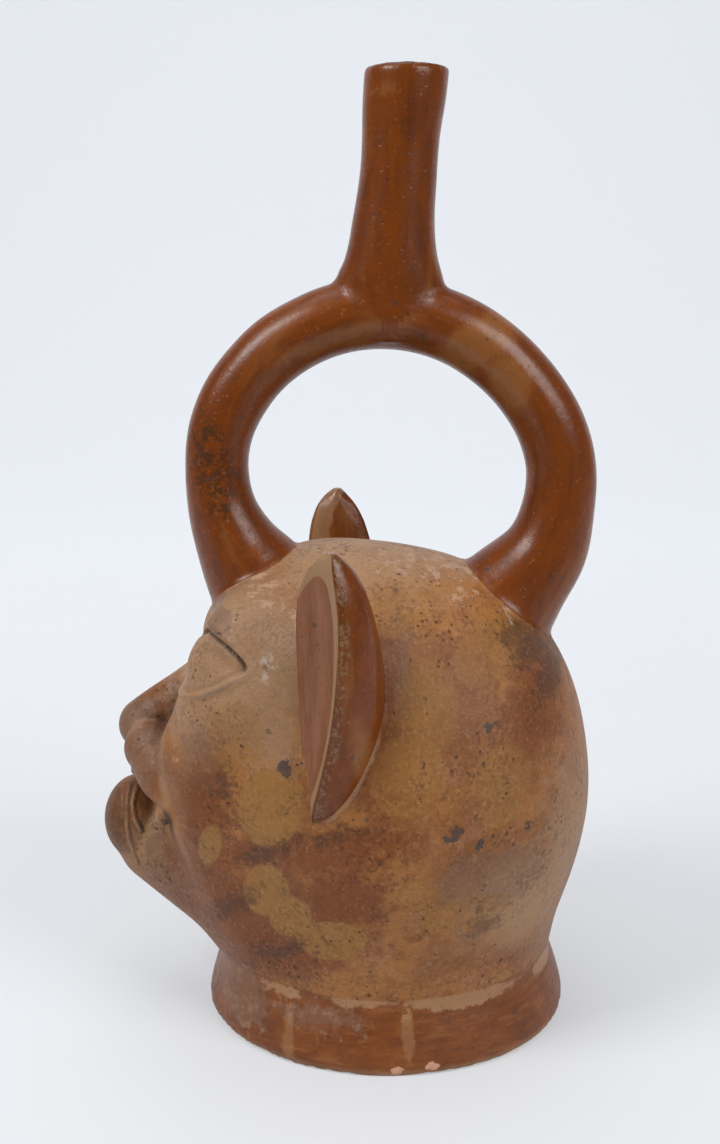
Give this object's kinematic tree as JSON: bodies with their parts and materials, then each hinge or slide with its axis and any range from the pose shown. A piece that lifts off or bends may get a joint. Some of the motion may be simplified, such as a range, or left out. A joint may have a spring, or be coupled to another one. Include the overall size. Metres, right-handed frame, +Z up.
{
  "type": "stirrup spout vessel",
  "caption": "Hollow clay vessel in the form of an animal's head with tall ears, with an arched tube over it that opens into an upright spout, on a flaring ring foot.",
  "frame": {"origin": "on the plane the foot stands on, at the middle of the box around the vessel", "axes": "+Z up along the height; the face looks towards -Y; X is across, from ear to ear"},
  "size_m": [0.134, 0.1608, 0.3008],
  "materials": {
    "burnished_clay": "slip-painted earthenware, polished to a low gloss on the tubes and worn matte on the head"
  },
  "bodies": {
    "root": {"vessel": "burnished_clay"}
  },
  "joints": []
}
